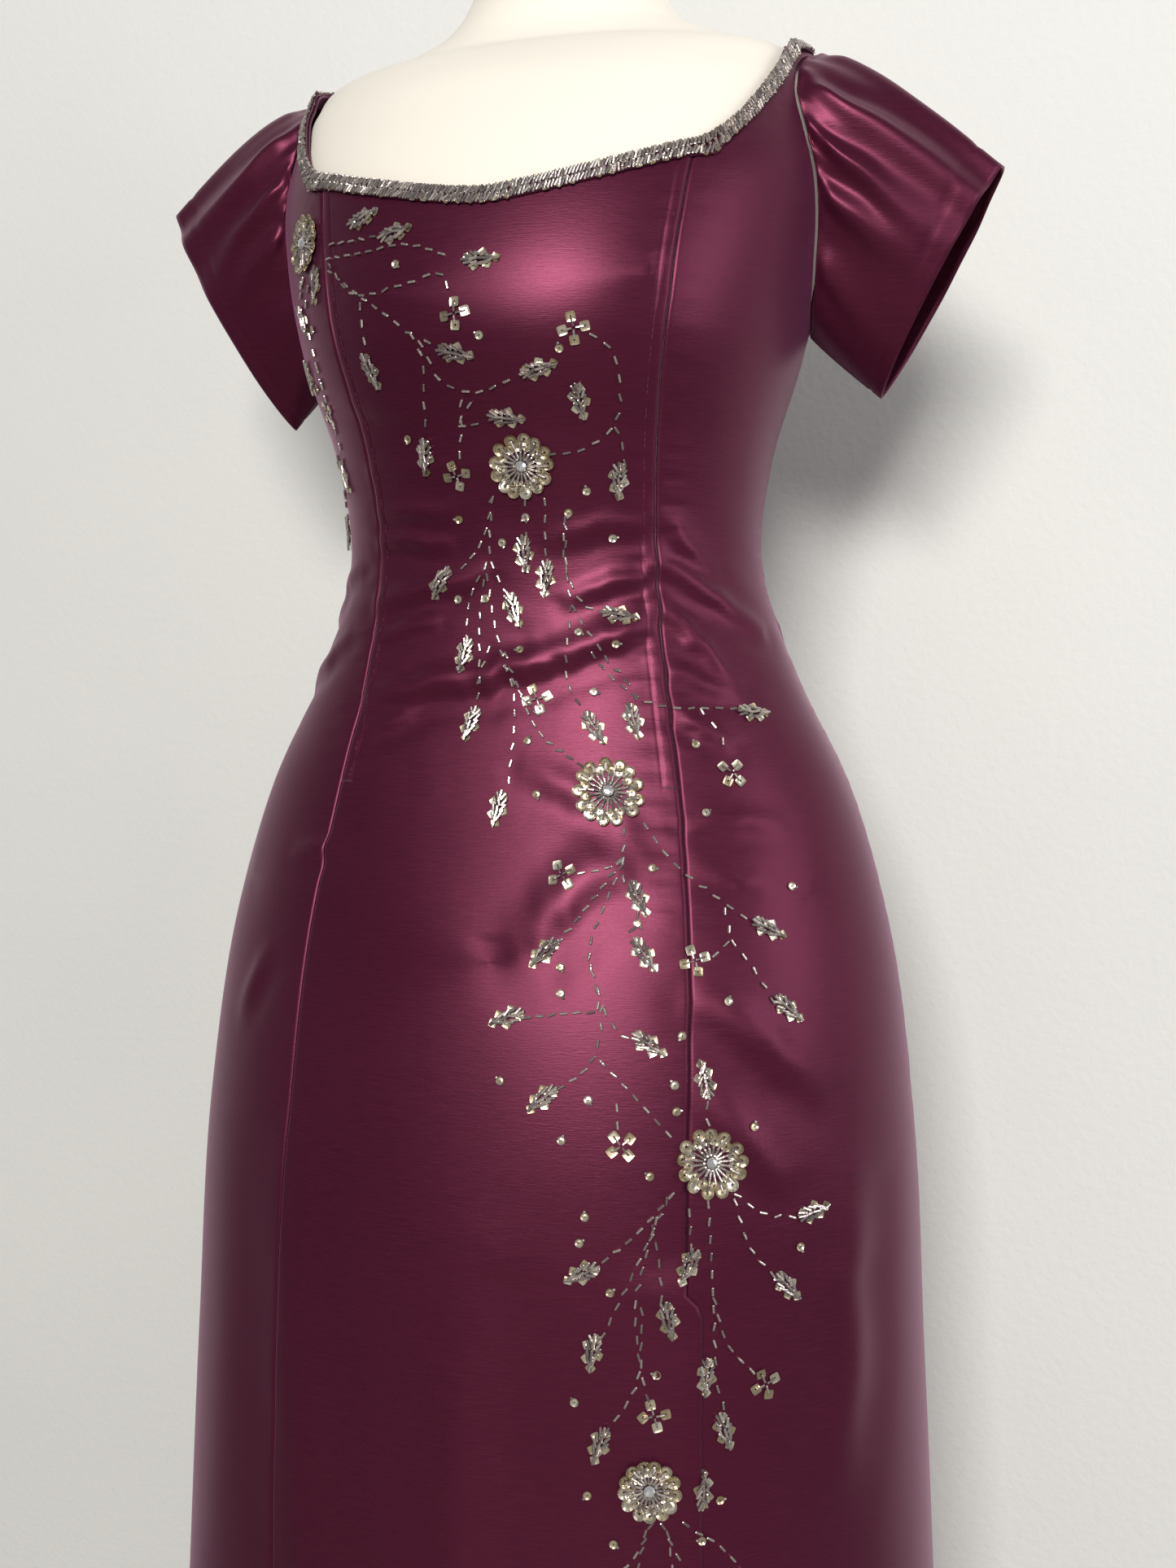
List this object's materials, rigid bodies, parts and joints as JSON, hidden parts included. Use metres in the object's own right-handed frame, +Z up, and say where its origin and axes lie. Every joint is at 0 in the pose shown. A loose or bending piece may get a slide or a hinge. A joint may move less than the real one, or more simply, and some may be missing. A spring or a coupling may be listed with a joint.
{
  "type": "corset dress on a dress form with a stand",
  "caption": "Floor-length fitted satin corset dress with flared cap sleeves and beaded flower sprays, standing on a limbless dress form and its round stand.",
  "frame": {"origin": "centre of the flat underside of the stand's base, on the pole's axis", "axes": "+Z up along the pole, the dress faces -Y, and +X is the wearer's left"},
  "size_m": [0.544, 0.4365, 1.4695],
  "materials": {
    "satin": "heavy duchess satin, wine coloured, with a soft directional sheen",
    "beading": "silver-lined bugle beads and pale gold sequins sewn on satin",
    "zip_metal": "plain satin metal",
    "form_cover": "smooth cream cover",
    "base_paint": "satin cream paint",
    "pole_steel": "brushed steel tube"
  },
  "bodies": {
    "dress": {"front_center": "satin", "side_front_left": "satin", "side_front_right": "satin", "side_back_left": "satin", "side_back_right": "satin", "center_back_left": "satin", "center_back_right": "satin", "sleeve_left": "satin", "sleeve_right": "satin", "neck_band": "beading", "zip_slider": "zip_metal", "dress_form": "form_cover", "stand_base": "base_paint", "stand_hub": "base_paint", "stand_pole": "pole_steel"},
    "pull_tab": {"zip_pull": "zip_metal"}
  },
  "joints": [
    {"name": "pull_tab_hinge", "type": "hinge", "parent": "dress", "child": "pull_tab", "pos_m": [0, 0.11365, 1.231], "axis": [1, 0, 0], "range_deg": [0, 150]}
  ]
}
